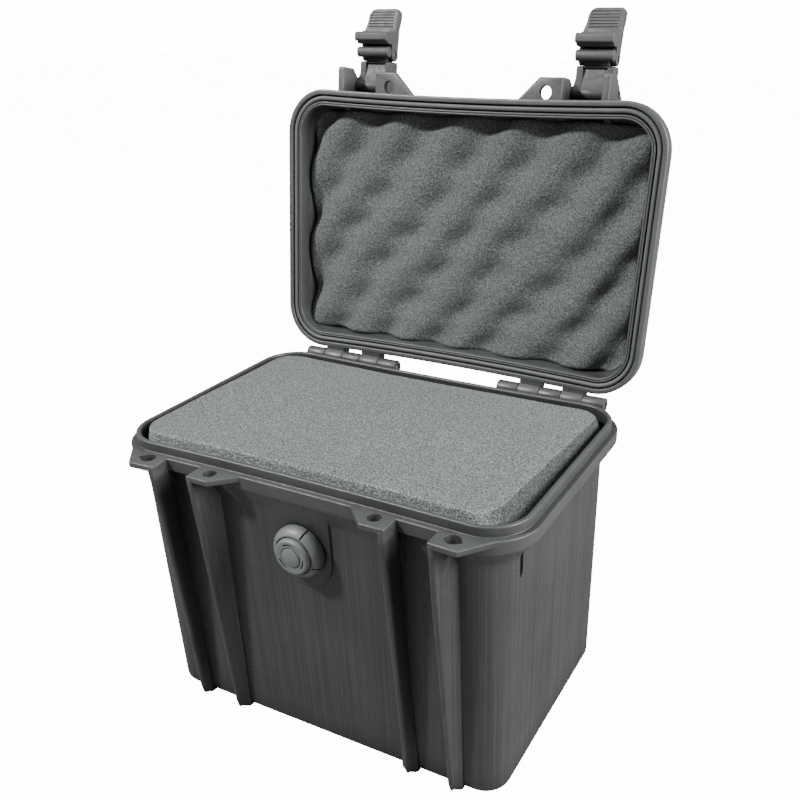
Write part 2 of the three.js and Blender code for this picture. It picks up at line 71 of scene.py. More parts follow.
JOINTS = {j["name"]: j for j in frame["joints"]}
HINGE = Vector(JOINTS["lid_hinge"]["pos_m"]) / MM
OPEN = math.radians(max(JOINTS["lid_hinge"]["range_deg"]))
SWING = (Matrix.Translation(HINGE * MM) @ Matrix.Rotation(-OPEN, 4, "X")
         @ Matrix.Translation(-HINGE * MM))


# ---- mesh kit ----
SHARP = 0.35                         # radians between two faces from which their edge is rounded


def new_object(name, verts, faces):
    mesh = bpy.data.meshes.new(name)
    mesh.from_pydata([Vector(v) * MM for v in verts], [], faces)
    obj = bpy.data.objects.new(name, mesh)
    bpy.context.scene.collection.objects.link(obj)
    return obj


def outline(w, d, r, bow=BOW):
    """Anticlockwise rounded rectangle whose long sides dip inwards by bow."""
    arc, long, short = 12, 32, 18
    sx, sy = w / 2 - r, d / 2 - r
    pts = []

    def corner(cx, cy, start):
        for i in range(arc + 1):
            a = start + math.pi / 2 * i / arc
            pts.append((cx + r * math.cos(a), cy + r * math.sin(a)))

    def long_side(way):
        for i in range(1, long):
            t = 1 - 2 * i / long
            pts.append((way * sx * t, way * (d / 2 - bow * (1 - t * t))))

    def short_side(way):
        for i in range(1, short):
            pts.append((-way * w / 2, way * sy * (1 - 2 * i / short)))

    corner(sx, sy, 0)
    long_side(1)
    corner(-sx, sy, math.pi / 2)
    short_side(1)
    corner(-sx, -sy, math.pi)
    long_side(-1)
    corner(sx, -sy, 1.5 * math.pi)
    short_side(-1)
    return pts


def soften(stations, steps):
    """Rounds the corners of a chain of stations (w, d, r, bow, z, corner size)."""
    out = [stations[0][:5]]
    for prev, here, after in zip(stations, stations[1:], stations[2:]):
        size = here[5]
        if not size:
            out.append(here[:5])
            continue

        def towards(other):
            span = math.hypot(max(abs(other[0] - here[0]), abs(other[1] - here[1])) / 2,
                              other[4] - here[4])
            t = min(size / span, 0.48)
            return [h + (o - h) * t for h, o in zip(here[:5], other[:5])]

        a, b = towards(prev), towards(after)
        for i in range(steps + 1):
            t = i / steps
            out.append([(1 - t) ** 2 * p + 2 * t * (1 - t) * h + t * t * q
                        for p, h, q in zip(a, here[:5], b)])
    out.append(stations[-1][:5])
    return out


def loft_rings(name, rings):
    """Closed skin through rings of (x, y, z) points of equal length."""
    n = len(rings[0])
    verts = [p for ring in rings for p in ring]
    faces = []
    for k in range(len(rings) - 1):
        for i in range(n):
            a, b = k * n + i, k * n + (i + 1) % n
            faces.append((a, b, b + n, a + n))
    faces.append(tuple(reversed(range(n))))
    faces.append(tuple(range((len(rings) - 1) * n, len(rings) * n)))
    return new_object(name, verts, faces)


def loft(name, stations, steps=5):
    return loft_rings(name, [[(x, y, z) for x, y in outline(w, d, r, bow)]
                             for w, d, r, bow, z in soften(stations, steps)])


def face_outwards(obj, merge=False):
    """Turns every face outwards, after joining points that coincide if merge is set."""
    bm = bmesh.new()
    bm.from_mesh(obj.data)
    if merge:
        bmesh.ops.remove_doubles(bm, verts=bm.verts, dist=1e-6)
    bmesh.ops.recalc_face_normals(bm, faces=bm.faces)
    bm.to_mesh(obj.data)
    bm.free()
    return obj


def round_edges(obj, size, segments):
    """Rounds every edge that turns by more than about 20 degrees."""
    bm = bmesh.new()
    bm.from_mesh(obj.data)
    sharp = [e for e in bm.edges if e.calc_face_angle(0) > SHARP]
    bmesh.ops.bevel(bm, geom=sharp, offset=size * MM, segments=segments, profile=0.5,
                    affect="EDGES", clamp_overlap=True)
    bm.to_mesh(obj.data)
    bm.free()


def prism(name, pts, lo, hi, axis, bevel, segments=3):
    """Straight prism with rounded edges: pts in XY pushed along Z, in YZ along X, in XZ along Y."""
    place = {"Z": lambda p, t: (p[0], p[1], t), "X": lambda p, t: (t, p[0], p[1]),
             "Y": lambda p, t: (p[0], t, p[1])}[axis]
    n = len(pts)
    verts = [place(p, lo) for p in pts] + [place(p, hi) for p in pts]
    faces = [tuple(range(n)), tuple(range(n, 2 * n))]
    faces += [(i, (i + 1) % n, n + (i + 1) % n, n + i) for i in range(n)]
    obj = face_outwards(new_object(name, verts, faces))
    if bevel:
        round_edges(obj, bevel, segments)
    return obj


def circle(cx, cy, r, n, start=0.0, sweep=2 * math.pi):
    return [(cx + r * math.cos(start + sweep * i / n), cy + r * math.sin(start + sweep * i / n))
            for i in range(n)]


def rod(name, centre, r, lo, hi, axis, n, bevel):
    return prism(name, circle(*centre, r, n), lo, hi, axis, bevel, 2)


def block(name, x, y, z, bevel=0.0):
    return prism(name, [(x[0], y[0]), (x[1], y[0]), (x[1], y[1]), (x[0], y[1])], *z, "Z", bevel)


def turned(name, x, z, profile, n=96):
    """Part turned about a line along Y; profile is a closed loop of (radius, y)."""
    rings = [[(x + r * math.cos(2 * math.pi * i / n), y, z + r * math.sin(2 * math.pi * i / n))
              for i in range(n)] for r, y in profile]
    verts = [p for ring in rings for p in ring]
    m = len(profile)
    faces = [(k * n + i, k * n + (i + 1) % n, (k + 1) % m * n + (i + 1) % n, (k + 1) % m * n + i)
             for k in range(m) for i in range(n)]
    return face_outwards(new_object(name, verts, faces), merge=True)


def bake(obj):
    """Applies the object's modifiers to its mesh."""
    shown = obj.evaluated_get(bpy.context.evaluated_depsgraph_get())
    mesh = bpy.data.meshes.new_from_object(shown)
    obj.modifiers.clear()
    obj.data = mesh
    return obj


def combine(obj, operation, tools):
    for tool in tools:
        mod = obj.modifiers.new(operation, "BOOLEAN")
        mod.operation, mod.object, mod.solver = operation, tool, "MANIFOLD"
    bake(obj)
    for tool in tools:
        bpy.data.objects.remove(tool)
    return obj


def union(obj, *tools):
    return combine(obj, "UNION", tools)


def cut(obj, *tools):
    return combine(obj, "DIFFERENCE", tools)


def mirrored(pts, side):
    return pts if side > 0 else [(-x, y) for x, y in reversed(pts)]


def span(side, a, b):
    return (a, b) if side > 0 else (-b, -a)


SIDES = ((-1, "left"), (1, "right"))


def install(obj, body, node, material, on_lid=False, smooth=32):
    """Gives a finished piece its finish, its CAD body and the CAD node it stands for."""
    if on_lid:
        obj.data.transform(SWING)
    obj.data.materials.clear()
    obj.data.materials.append(material)
    obj.data.shade_smooth()
    obj.data.set_sharp_from_angle(angle=math.radians(smooth))
    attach(obj, body)
    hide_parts(node)
    return obj


# ---- materials ----
class Graph:
    """Small wrapper for building node materials."""

    def __init__(self, name):
        self.material = bpy.data.materials.new(name)
        self.material.use_nodes = True
        self.tree = self.material.node_tree
        self.shader = self.tree.nodes["Principled BSDF"]
        coord = self.tree.nodes.new("ShaderNodeTexCoord")
        self.place = coord.outputs["Object"]

    def node(self, kind, inputs=None, **props):
        n = self.tree.nodes.new("ShaderNode" + kind)
        for key, value in props.items():
            setattr(n, key, value)
        for key, value in (inputs or {}).items():
            if isinstance(value, bpy.types.NodeSocket):
                self.tree.links.new(value, n.inputs[key])
            else:
                n.inputs[key].default_value = value
        return n

    def scaled(self, x, y, z):
        return self.node("Mapping", {"Vector": self.place, "Scale": (x, y, z)}).outputs[0]

    def noise(self, scale, detail=3, vector=None, rough=0.55):
        n = self.node("TexNoise", {"Vector": vector or self.place, "Scale": scale,
                                   "Detail": detail, "Roughness": rough})
        return n.outputs["Fac"]

    def cells(self, scale):
        return self.node("TexVoronoi", {"Vector": self.place, "Scale": scale}).outputs["Distance"]

    def ramp(self, fac, stops):
        n = self.node("ValToRGB", {"Fac": fac})
        ramp = n.color_ramp
        for i, (at, value) in enumerate(stops):
            e = ramp.elements[i] if i < 2 else ramp.elements.new(at)
            e.position = at
            e.color = (*value, 1) if isinstance(value, tuple) else (value, value, value, 1)
        return n.outputs[0]

    def mix(self, fac, a, b, blend="MIX"):
        n = self.node("MixRGB", {"Fac": fac, "Color1": a, "Color2": b}, blend_type=blend)
        return n.outputs[0]

    def math(self, op, a, b):
        return self.node("Math", {0: a, 1: b}, operation=op).outputs[0]

    def bump(self, height, distance, strength, normal=None):
        inputs = {"Height": height, "Distance": distance * MM, "Strength": strength}
        if normal:
            inputs["Normal"] = normal
        return self.node("Bump", inputs).outputs[0]

    def painted_crevice_shade(self, reach, low):
        """Painted shade: 1 in the open, falling to low where surfaces nearer than reach close in, standing
        in for the shadow in corners and recesses.
        """
        ao = self.node("AmbientOcclusion", {"Distance": reach * MM}, samples=4)
        return self.ramp(ao.outputs["AO"], [(0.35, low), (0.95, 1.0)])

    def edge(self, radius):
        """Normal that rounds every hard edge by radius."""
        return self.node("Bevel", {"Radius": radius * MM}, samples=4).outputs[0]

    def set(self, **inputs):
        names = {"color": "Base Color", "rough": "Roughness", "metal": "Metallic",
                 "normal": "Normal", "spec": "Specular IOR Level"}
        for key, value in inputs.items():
            socket = self.shader.inputs[names[key]]
            if isinstance(value, bpy.types.NodeSocket):
                self.tree.links.new(value, socket)
            else:
                socket.default_value = value
        return self.material


def grey(v, tint=(0.95, 1.0, 1.0)):
    return tuple(v * t for t in tint) + (1.0,)


def drag_lines(g, colour, streak, rim):
    """Upright lines left by the mould on the base's walls, which fade out on the flange; the flange's colour
    is painted rim times paler than the wall as painted light.
    """
    lines = g.noise(1.0, 1, g.scaled(900, 900, 5), 0.5)
    wide = g.noise(1.0, 1, g.scaled(220, 220, 3), 0.5)
    both = g.math("ADD", g.math("MULTIPLY", lines, 0.72), g.math("MULTIPLY", wide, 0.28))
    tone_lines = g.ramp(both, [(0.36, 1 - streak), (0.64, 1 + streak)])
    level = g.math("MULTIPLY", g.node("SeparateXYZ", {0: g.place}).outputs["Z"], 1 / (H * MM))
    wall, flange = 1 - (FLANGE_T + 1) / H, 1 - FLANGE_T / H
    lined = g.ramp(level, [(wall, 1.0), (flange, 0.15)])
    # painted light: above the wall the colour rises to rim times paler, for the light that falls on the
    # flange
    painted_flange_light = g.ramp(level, [(wall, 1 / rim), (flange, 1.0)])
    colour = g.mix(1.0, g.mix(lined, colour, tone_lines, "MULTIPLY"), painted_flange_light, "MULTIPLY")
    return g.mix(1.0, colour, grey(rim, (1, 1, 1)), "MULTIPLY"), g.math("MULTIPLY", lines, 0.06)


def moulded(name, tone, rough, edge=0.35, dark=0.5, streak=0.0, rim=1.0):
    """Moulded polymer: fine texture, faint flow mottling, painted shade in corners and recesses, optional
    drag lines with painted light on the flange.
    """
    g = Graph(name)
    fine = g.noise(1400, 2)
    mottle = g.noise(18, 4)
    colour = g.mix(g.ramp(mottle, [(0.3, 0.0), (0.7, 1.0)]), grey(tone * 0.86), grey(tone * 1.14))
    height = g.math("MULTIPLY", fine, 0.05)
    if streak:
        colour, ridges = drag_lines(g, colour, streak, rim)
        height = g.math("ADD", height, ridges)
    # painted shade: the colour falls towards dark where nearby surfaces close in, as in the bays, under the
    # tabs and in corners
    colour = g.mix(1.0, colour, g.painted_crevice_shade(22, dark), "MULTIPLY")
    wear = g.ramp(g.noise(240, 5), [(0.42, rough - 0.06), (0.62, rough + 0.08)])
    normal = g.bump(height, 1.0, 0.8, g.edge(edge))
    return g.set(color=colour, rough=wear, normal=normal)


PORES = 900                          # foam pores per metre


def paint_flank_light(g, colour, right, front):
    """Painted light and shade: scales the colour on faces that look right, as painted shade, and on faces
    that look forward, as painted light.
    """
    facing = g.node("SeparateXYZ", {0: g.node("NewGeometry").outputs["Normal"]}).outputs
    colour = g.mix(1.0, colour, g.ramp(facing["X"], [(0.35, 1.0), (0.55, right)]), "MULTIPLY")
    ahead = g.math("MULTIPLY", facing["Y"], -1.0)
    return g.mix(1.0, colour, g.ramp(ahead, [(0.25, 1.0), (0.7, front)]), "MULTIPLY")


def foam_look(name, dark, light, painted_flank_light=None):
    """Open-cell foam: dark pores between pale struts, pale flecks and soft large-scale shade;
    painted_flank_light adds painted shade on right-facing faces and painted light on forward-facing faces.
    """
    g = Graph(name)
    cells = g.cells(PORES)
    coarse = g.cells(PORES * 0.5)
    speck = g.noise(PORES * 1.1, 2, rough=0.7)
    mix = g.math("ADD", g.math("MULTIPLY", cells, 0.5), g.math("MULTIPLY", speck, 0.65))
    colour = g.mix(g.ramp(mix, [(0.38, 0.0), (0.74, 1.0)]), grey(dark), grey(light))
    flecks = g.ramp(g.noise(PORES * 0.6, 1), [(0.66, 1.0), (0.74, 1.3)])
    cloud = g.ramp(g.noise(9, 3), [(0.3, 0.94), (0.7, 1.06)])
    colour = g.mix(1.0, g.mix(1.0, colour, cloud, "MULTIPLY"), flecks, "MULTIPLY")
    if painted_flank_light:
        colour = paint_flank_light(g, colour, *painted_flank_light)
    height = g.math("ADD", g.math("MULTIPLY", cells, 0.7), g.math("MULTIPLY", coarse, 0.6))
    return g.set(color=colour, rough=0.95, spec=0.12, normal=g.bump(height, 0.5, 1.0))


def rubber_look():
    g = Graph("rubber")
    colour = g.mix(g.noise(60, 4), grey(0.06), grey(0.10))
    normal = g.bump(g.noise(700, 3), 0.12, 0.6)
    return g.set(color=colour, rough=0.6, normal=normal)


def steel_look():
    g = Graph("ground_steel")
    lines = g.noise(1.0, 2, g.scaled(20, 1500, 1500))
    colour = g.mix(lines, grey(0.42), grey(0.6))
    rough = g.ramp(lines, [(0.3, 0.22), (0.7, 0.4)])
    return g.set(color=colour, rough=rough, metal=1.0, normal=g.bump(lines, 0.05, 0.5))


# the shell has the deepest painted shade in recesses (dark=0.36) and a flange painted 1.45 times paler as
# painted light (rim=1.45)
SHELL = moulded("shell_polymer", 0.032, 0.46, streak=0.25, dark=0.36, rim=1.45)
# painted light: the lid's copy of the shell plastic is about twice as pale as the base's, standing in for
# fill light on the lid
LID_PAINTED_FILL = moulded("lid_polymer", 0.062, 0.45)
LATCH = moulded("latch_polymer", 0.050, 0.58)
VALVE = moulded("valve_polymer", 0.13, 0.48, edge=0.25)
HANDLE = moulded("handle_polymer", 0.03, 0.5)
# painted shade on the foam's right-facing faces at half colour, painted light on its forward-facing faces at
# 1.5 times
FOAM = foam_look("block_foam", 0.036, 0.175, painted_flank_light=(0.5, 1.5))
LID_FOAM = foam_look("convoluted_foam", 0.043, 0.135)
RUBBER = rubber_look()
STEEL = steel_look()


# ---- base shell ----
INNER_TAB = [(BAY[0], -88), (41, -88), (41, -95.5), (56, -110), (BAY[0], -110)]
OUTER_TAB = [(BAY[1], -88), (BAY[1], -110.4), (119.5, -111.5), (138.3, -88), (137, -80),
             (BAY[1], -80)]
PADLOCK_IN, PADLOCK_OUT = (61, -100.4, 4.35), (112, -101, 4.9)


def teardrop(x, y, r):
    """Padlock eye drawn out to a point towards the outside."""
    tip = (x + r * 1.45, y - r * 0.25)
    return [tip] + circle(x, y, r, 30, math.radians(42), math.radians(276))


RIB_INNER = ((62.8, 68.2, BAY[0] - 0.2, BAY[0] - 0.2), (65.5, 70.6, 74.2, 78.5))
RIB_OUTER = ((BAY[1] + 0.2, BAY[1] + 0.2, 105.3, 111.4), (101.5, 104.2, 108.2, 112.5))


def rib(name, side, inner):
    """One front rib: a wide foot on the wall narrowing to a ridge that ends in a pointed toe."""
    top, bay, toe = H - 2, H - 40, 11
    high_x, low_x = RIB_INNER if inner else RIB_OUTER

    def section(z, front, pinch=1.0):
        t = 0 if z > bay else 1 - z / bay
        foot, a, b, far = [p + (q - p) * t for p, q in zip(high_x, low_x)]
        mid, r = (a + b) / 2, (b - a) / 2 * pinch
        a, b = mid - r, mid + r
        nose = [(a + r - r * math.cos(i * math.pi / 8),
                 front + 1.5 - 1.5 * math.sin(i * math.pi / 8)) for i in range(9)]
        pts = [(foot, -87), (foot, -92.4), (foot + (a - foot) * 0.3, -94)] + nose
        pts += [(far + (b - far) * 0.3, -94), (far, -92.4), (far, -87)]
        return [(x, y, z) for x, y in mirrored(pts, side)]

    def ridge(z):
        return RIB_Y + (H - z) * RIB_TAPER / H

    rings = []
    for i in range(9):
        a = i / 8 * math.pi / 2
        z = toe * (1 - math.cos(a))
        rings.append(section(z, ridge(z) + 1.6 * (1 - math.sin(a)), 0.4 + 0.6 * math.sin(a)))
    rings += [section(z, ridge(z)) for z in (toe + (bay - toe) * i / 12 for i in range(1, 13))]
    rings.append(section(top, ridge(top)))
    return loft_rings(name, rings)


def knuckle_parts(on_base):
    """Hinge knuckles and their webs: the base has the odd places, the lid the even ones."""
    out = []
    for side, _ in SIDES:
        for i in range(0 if on_base else 1, KNUCKLE_N, 2):
            a = KNUCKLE_X0 + i * KNUCKLE_PITCH + GAP / 2
            x = span(side, a, a + KNUCKLE_PITCH - GAP)
            y, z = HINGE.y, HINGE.z
            if on_base:
                web = [(90, H - 8.2), (99, H - 8.2), (y + 1.5, z - 5.3), (y, z), (99.4, H - 0.25),
                       (90, H - 0.25)]
            else:
                web = [(ROOT, H + 0.45), (99.4, H + 0.45), (y, z), (y + 1.5, z + 5.2),
                       (99.5, H + 10.2), (ROOT, H + 10.2)]
            out.append(prism("web", web, *x, "X", 0.4))
            out.append(rod("knuckle", (y, z), KNUCKLE_R, *x, "X", 40, 0.5))
    return out


def hinge_bores():
    end = KNUCKLE_X0 + KNUCKLE_N * KNUCKLE_PITCH + 1.5
    return [rod("bore", (HINGE.y, HINGE.z), 2.3, *span(s, KNUCKLE_X0 - 1.5, end), "X", 32, 0)
            for s, _ in SIDES]


def upright_slot(y, z, r, half):
    """Outline of an upright slot with round ends, whose end centres lie half above and below z."""
    turns = [2 * math.pi * (i + 0.5) / 24 for i in range(24)]
    return [(y + r * math.cos(a), z + math.copysign(half, math.sin(a)) + r * math.sin(a)) for a in turns]


def make_base():
    """Base moulding: b is the body at its top, l at its bottom, t and u the tongue out and in."""
    (bw, bd), (lw, ld) = BODY_TOP, BODY_BOT
    tw, td = W - 2 * TONGUE_IN, D - 2 * TONGUE_IN
    uw, ud = tw - 2 * TONGUE_T, td - 2 * TONGUE_T
    shell = loft("base_shell_skin", [
        (lw - 40, ld - 40, 8, 0, 0, 0), (lw, ld, 18, 0, 0, 5),
        ((lw + bw) / 2, ld + 2, 21, 0.4, H / 2, 0),
        (bw, bd, 24, 1, H - 21, 4), (W, D, RIM_R, BOW, H - FLANGE_T, 1.2),
        (W, D, RIM_R, BOW, H, 1.0), (tw, td, 28, BOW, H, 0.7), (tw, td, 28, BOW, H + TONGUE_H, 1.3),
        (uw, ud, 24.5, BOW, H + TONGUE_H, 1.5), (uw, ud, 24.5, BOW, H - 11, 2),
        (bw - 2 * WALL, bd - 2 * WALL, 22, 1, H - 23, 3), (lw - 2 * WALL, ld - 2 * WALL, 19, 0, WALL, 6),
        (lw - 60, ld - 60, 10, 0, WALL, 0)])
    parts, cuts = [], []
    for s, _ in SIDES:
        inner = prism("tab", mirrored(INNER_TAB, s), H - TAB_T, H, "Z", 0.7)
        outer = prism("tab", mirrored(OUTER_TAB, s), H - TAB_T, H, "Z", 0.7)
        parts += [inner, outer, rib("rib", s, True), rib("rib", s, False)]
        x, y, r = PADLOCK_IN
        cuts.append(rod("eye", (s * x, y), r, H - 14, H + 2, "Z", 48, 0))
        cuts.append(prism("eye", mirrored(teardrop(*PADLOCK_OUT), s), H - 14, H + 2, "Z", 0))
        cuts.append(prism("undercut", [(-99, H - FLANGE_T + 0.3), (-91.2, H - FLANGE_T + 0.3),
                                       (-91.2, H - 26), (-93, H - 40), (-99, H - 40)],
                          *span(s, BAY[0] + 0.1, BAY[1] - 0.1), "X", 0))
        cuts.append(prism("slot", upright_slot(-66, H - 28, 2.4, 8), *span(s, bw / 2 - 1.5, 152), "X", 0))
    pad_r, pad_z = 22, VALVE_Z - 6
    pad = [(pad_r * math.cos(a), pad_z + pad_r * math.sin(a))
           for a in (math.pi + math.pi * i / 32 for i in range(33))]
    pad += [(pad_r, H - 5), (-pad_r, H - 5)]
    parts.append(prism("valve_pad", pad, VALVE_Y + 5, VALVE_Y, "Y", 1.0, 4))
    union(shell, *parts, *knuckle_parts(True))
    cuts.append(rod("valve_hole", (0, VALVE_Z), 8, -100, -80, "Y", 48, 0))
    cut(shell, *cuts, *hinge_bores())
    install(shell, "base", "base_shell", SHELL)


# ---- lid shell ----
def make_lid():
    w, d = W - 2 * LID_IN, D - 2 * LID_IN
    z0 = H + GAP

    def rim(inset, z, soft):
        return (W - 2 * inset, D - 2 * inset, RIM_R - inset, BOW, z, soft)

    ch_in, ch_out = TONGUE_IN + TONGUE_T + 0.9, TONGUE_IN - 0.4
    shell = loft("lid_shell_skin", [
        (w - 70, d - 70, 10, 0.4, H + LID_H - WALL, 0),
        (w - 4 - 2 * WALL, d - 4 - 2 * WALL, 20, 1, H + LID_H - WALL, 6),
        (w - 2 * WALL, d - 2 * WALL, 22.5, BOW, H + 17, 2),
        rim(11.4, H + 13, 1), rim(11.4, H + 1.4, 0.7), rim(10.2, H + 1.4, 0.3),
        rim(10.1, H + 2.3, 0.2), rim(9.9, H + 2.3, 0.2), rim(9.8, H + 1.6, 0.3),
        rim(ch_in, H + 1.6, 0.4), rim(ch_in, H + 10, 0.3), rim(ch_out, H + 10, 0.3),
        rim(ch_out, z0, 0.8), rim(0, z0, 1.4), (W, D, RIM_R, BOW, H + LID_FLANGE, 1.2),
        (w, d, 26, BOW, H + LID_FLANGE + 5, 3), (w - 3, d - 3, 25, BOW, H + LID_H, 8),
        (w - 80, d - 80, 8, 0.5, H + LID_H, 0)])
    parts, cuts = [], []

    def ear(front):
        return [(-ROOT, H + 1.9), (front + 1.3, H + 1.9), (front, H + 3.2), (front, H + 15.5),
                (-98.5, H + 32), (-84, H + 33.5), (-84, H + 12), (-ROOT, H + 12)]

    tab = [(BAY[0], -ROOT), (41, -ROOT)] + INNER_TAB[2:]
    for s, _ in SIDES:
        parts.append(prism("ear", ear(-113.3), *span(s, BAY[1], BAY[1] + EAR_T), "X", 0.6))
        parts.append(prism("ear", ear(-110.2), *span(s, BAY[0] - EAR_T, BAY[0]), "X", 0.6))
        parts.append(prism("tab", mirrored(tab, s), H + 1.9, H + 1.9 + TAB_T, "Z", 0.7))
        x, y, r = PADLOCK_IN
        cuts.append(rod("eye", (s * x, y), r, H - 2, H + 12, "Z", 48, 0))
        cuts.append(rod("pin_bore", ARM_PIN, 2.2, *span(s, BAY[0] - 7, BAY[1] + 7), "X", 32, 0))
        hy, hz = HANDLE_PIN
        for x0 in (38.7, 55.3):
            x = span(s, x0, x0 + 6)
            parts.append(rod("lug", HANDLE_PIN, 5.4, *x, "X", 40, 0.6))
            parts.append(prism("lug", [(hy - 9, H + LID_H - 1), (hy - 5.2, hz), (hy + 5.2, hz),
                                       (hy + 9, H + LID_H - 1)], *x, "X", 0.6))
        cuts.append(rod("bore", HANDLE_PIN, 2.3, *span(s, 37, 64), "X", 32, 0))
    union(shell, *parts, *knuckle_parts(False))
    cut(shell, *cuts, *hinge_bores())
    install(shell, "lid", "lid_shell", LID_PAINTED_FILL, on_lid=True)


def make_gasket():
    """Sponge seal bedded in the lid channel, drawn relaxed as at rest."""
    a, b = TONGUE_IN + 0.3, TONGUE_IN + TONGUE_T
    low, high, pressed = H + 1.4, H + 9.8, H + 7.2

    def ring(inset, z):
        return [(x, y, z) for x, y in outline(W - 2 * inset, D - 2 * inset, RIM_R - inset)]

    mid, half = (a + b) / 2, (b - a) / 2
    section = [(a, high), (a, low + 1.2)]
    section += [(mid - half * math.cos(i * math.pi / 8), low + 1.2 - 1.2 * math.sin(i * math.pi / 8))
                for i in range(1, 8)]
    section += [(b, low + 1.2), (b, high)]
    rings = [ring(i, z) for i, z in section]
    n, m = len(rings[0]), len(rings)
    faces = [(k * n + i, (k + 1) % m * n + i, (k + 1) % m * n + (i + 1) % n, k * n + (i + 1) % n)
             for k in range(m) for i in range(n)]
    seal = face_outwards(new_object("lid_gasket_sponge", [p for r in rings for p in r], faces))
    install(seal, "lid", "lid_gasket", RUBBER, on_lid=True)
    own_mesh(seal)


# ---- latches ----
def make_arm(side, tag):
    """Latch arm: barrel on the lid pin, side rails, web and the rounded cross bar."""
    (py, pz), (qy, qz) = ARM_PIN, LEVER_PIN
    half, barrel = LATCH_W / 2, (BAY[1] - BAY[0]) / 2 - GAP
    z0, z1 = H + 25.5, H + 33.5
    c = side * LATCH_X

    def x(a, b):
        return c + a, c + b

    arm = prism("latch_arm_skin_" + tag, [
        (py - 1, pz - 4.5), (py + 0.4, pz + 4.4), (-106.2, z1), (-109.6, z1), (-111.4, z0 - 1.8)],
        *x(-half, half), "X", 0.4)
    flange = prism("flange", [
        (-107.5, z0 + 0.5), (-109, z1), (-118.4, z1), (-119.2, z1 - 1), (-119.2, z0 - 0.4),
        (-118, z0 - 1.8), (-110.5, z0 - 1.8)], *x(-half, half), "X", 0.4)
    plate = prism("plate", [
        (-106, z0 + 0.6), (-108, z1), (qy - 3.2, z1), (qy - 4.2, qz + 1.6), (qy - 4.2, qz - 1.6),
        (qy - 3, z0)], *x(-9, 9), "X", 0.5)
    y0, y1, zc, r = -128.8, -121.6, H + 21.3, 3.3
    stadium = circle(y0 + r, zc, r, 16, math.pi / 2, math.pi)
    stadium += circle(y1 - r, zc, r, 17, -math.pi / 2, math.pi)
    bar = prism("bar", stadium, *x(-half, half), "X", 0.6)
    root = block("root", x(-8.9, 8.9), (-127.6, -121.6), (H + 24, z0 + 1), 0.3)
    union(arm, rod("barrel", (py, pz), 4.6, *x(-barrel, barrel), "X", 48, 0.5), flange)
    cut(arm, prism("recess", [(-103.5, H + 15), (-103.5, H + 18.9), (-111.2, H + 24.4),
                              (-118.2, z0 + 0.2), (-118.2, H + 15)], *x(-8.6, 8.6), "X", 0))
    union(arm, plate, bar, root)
    cut(arm, rod("bore", (py, pz), 2.2, *x(-20, 20), "X", 32, 0),
        rod("bore", (qy, qz), 1.9, *x(-20, 20), "X", 32, 0))
    install(arm, "arm_" + tag, "latch_arm_" + tag, LATCH, on_lid=True)


def make_lever(side, tag):
    """Latch lever: cheeks on the lever pin, hooked catch bar and grooved thumb pad."""
    qy, qz = LEVER_PIN
    half = LATCH_W / 2
    c = side * LATCH_X

    def x(a, b):
        return c + a, c + b

    hook = prism("latch_lever_skin_" + tag, [
        (-132, H + 18.2), (-132, H + 15.8), (-133, H + 14.6), (-136.8, H + 14.6), (-138.2, H + 16),
        (-138.7, H + 19), (-138.7, H + 31), (-130.6, H + 31), (-130.6, H + 18.8)],
        *x(-half, half), "X", 0.5, 4)
    parts = [block("web", x(-9.6, 9.6), (-134, -129.4), (H + 28.5, H + 34.2), 0.3)]
    for a, b in ((-half, -9.3), (9.3, half)):
        parts.append(rod("cheek", (qy, qz), 4.4, *x(a, b), "X", 48, 0.5))
        parts.append(prism("cheek", [(qy, H + 25.1), (qy, H + 33.9), (-140, H + 34.4), (-140, H + 25.1)],
                           *x(a, b), "X", 0.5))

    def underside(t):
        return -133 - 21.5 * t, H + 27 + 5.6 * t ** 1.5 + 0.3 * math.sin(math.pi * t)

    side_view = [underside(i / 14) for i in range(15)] + [
        (-155.3, H + 33.2), (-155.8, H + 34.6), (-155.4, H + 36.6), (-154, H + 37.9),
        (-151.5, H + 38.4), (-148, H + 37.8), (-141, H + 35), (-133, H + 34.6)]
    pad = prism("pad", side_view, *x(-half, half), "X", 0.3)
    left = [(-half + 1.9 * (3 * t * t - 2 * t ** 3), -138.6 - 9 * t) for t in (i / 8 for i in range(9))]
    top_left = circle(-half + 8.2, -149.6, 6.2, 9, math.pi, math.pi / 2)
    top_right = circle(half - 3.8, -152, 3.8, 8, 1.5 * math.pi, math.pi / 2)
    plan = [(-half, -128)] + left + top_left + [(-half + 8.2, -155.8), (half - 3.8, -155.8)]
    plan += top_right + [(half, -152), (half, -128)]
    trim = prism("plan", [(c + px, py) for px, py in plan], H + 15, H + 50, "Z", 0)
    combine(pad, "INTERSECT", [trim])
    union(hook, *parts, pad)
    grooves = []
    for i in range(6):
        y, z = underside(0.47 + i * 0.092)
        grooves.append(rod("groove", (y, z - 0.12), 0.55, *x(-half + 3.4, half - 2.6), "X", 20, 0.25))
    cut(hook, rod("bore", (qy, qz), 1.9, *x(-20, 20), "X", 32, 0), *grooves)
    install(hook, "lever_" + tag, "latch_lever_" + tag, LATCH, on_lid=True)


# ---- pins ----
def make_pins():
    for side, tag in SIDES:
        c = side * LATCH_X
        reach = (BAY[1] - BAY[0]) / 2 + EAR_T - 0.4
        pins = [
            ("hinge_pin_" + tag, "base", (HINGE.y, HINGE.z), 2, span(side, 45.1, 128.9), False),
            ("latch_arm_pin_" + tag, "lid", ARM_PIN, 1.9, (c - reach, c + reach), True),
            ("latch_lever_pin_" + tag, "arm_" + tag, LEVER_PIN, 1.6,
             (c - LATCH_W / 2 + 0.3, c + LATCH_W / 2 - 0.3), True),
            ("handle_pin_" + tag, "lid", HANDLE_PIN, 2, span(side, 39.2, 60.8), True)]
        for node, body, centre, r, x, on_lid in pins:
            pin = rod(node + "_ground", centre, r, *x, "X", 40, 0.4)
            install(pin, body, node, STEEL, on_lid=on_lid)


